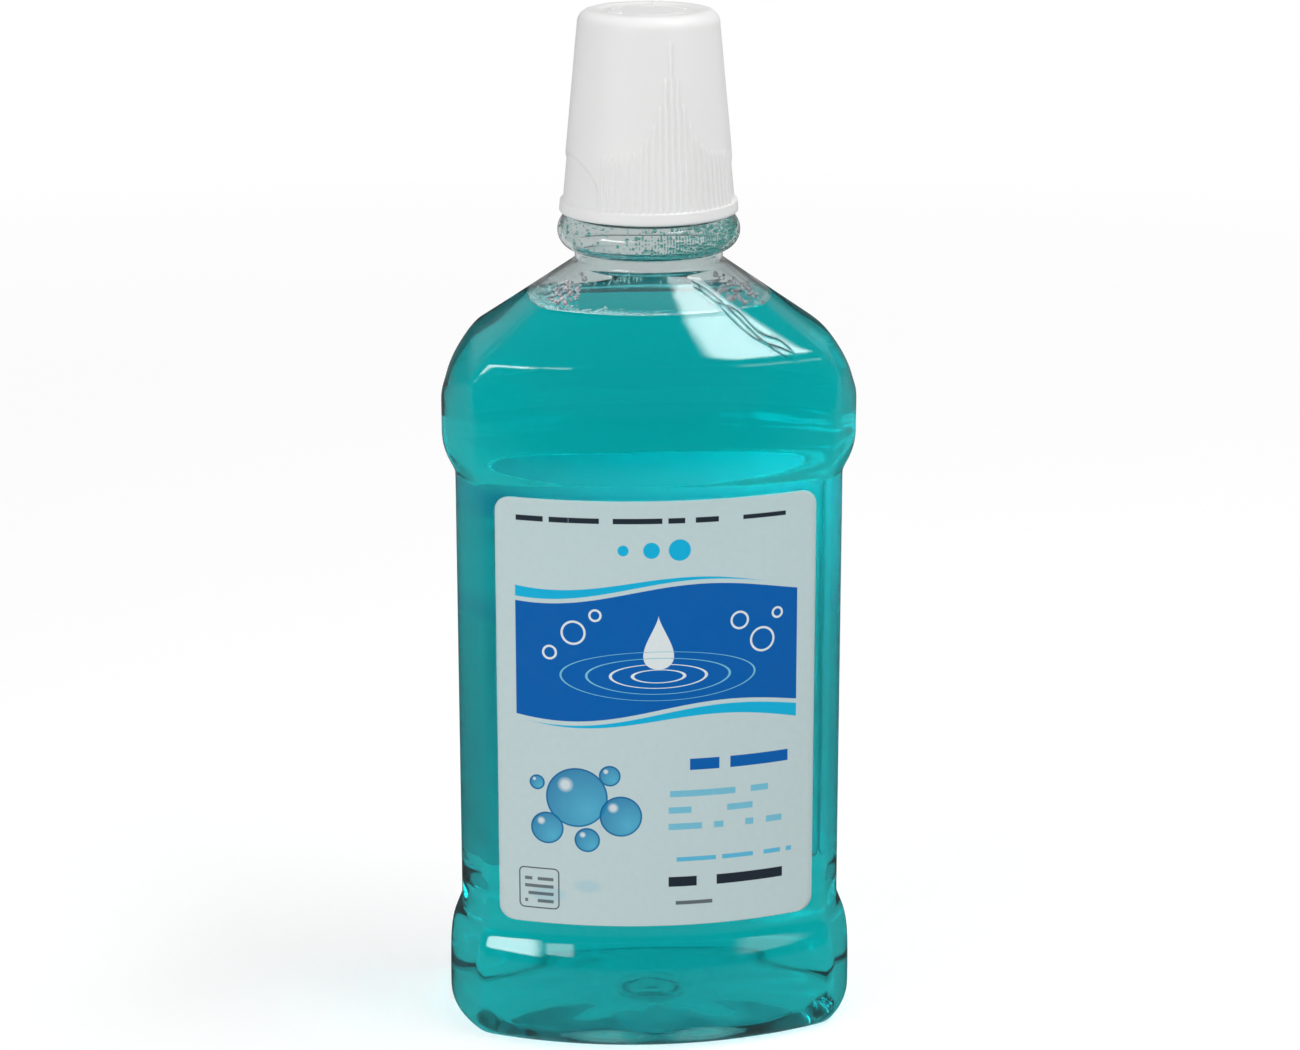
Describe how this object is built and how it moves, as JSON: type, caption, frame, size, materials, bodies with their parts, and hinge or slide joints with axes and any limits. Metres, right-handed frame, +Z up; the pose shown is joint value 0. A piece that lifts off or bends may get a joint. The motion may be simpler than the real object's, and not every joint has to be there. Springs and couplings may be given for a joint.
{
  "type": "mouthwash bottle",
  "caption": "Clear bow-fronted flask of teal mouth rinse with a hipped shoulder, recessed label panel, hollow neck bead and a white tapered screw cap that doubles as the dosing cup.",
  "frame": {"origin": "middle of the footprint, on the surface the bottle stands on", "axes": "+Z up along the neck and cap, +X to the right across the width, the front label faces -Y"},
  "size_m": [0.0836, 0.0566, 0.2085],
  "materials": {
    "clear_plastic": "clear glossy blown PET",
    "rinse": "clear teal liquid",
    "front_print": "satin printed film",
    "back_print": "satin printed film",
    "seal_foam": "soft closed-cell foam",
    "white_plastic": "semi-gloss moulded polypropylene"
  },
  "bodies": {
    "flask": {"bottle": "clear_plastic", "mouthwash": "rinse", "front_label": "front_print", "back_label": "back_print"},
    "seal": {"seal_ring": "seal_foam"},
    "cap": {"dosing_cap": "white_plastic"}
  },
  "joints": [
    {"name": "thread_rise", "type": "slide", "parent": "flask", "child": "seal", "axis": [0, 0, 1], "range_m": [0, 0.0053]},
    {"name": "cap_turn", "type": "hinge", "parent": "seal", "child": "cap", "pos_m": [0, 0, 0.18], "axis": [0, 0, 1], "range_deg": [0, 450]}
  ],
  "couplings": [
    {"joint": "thread_rise", "follows": "cap_turn", "m_per_rad": 0.0006737}
  ]
}
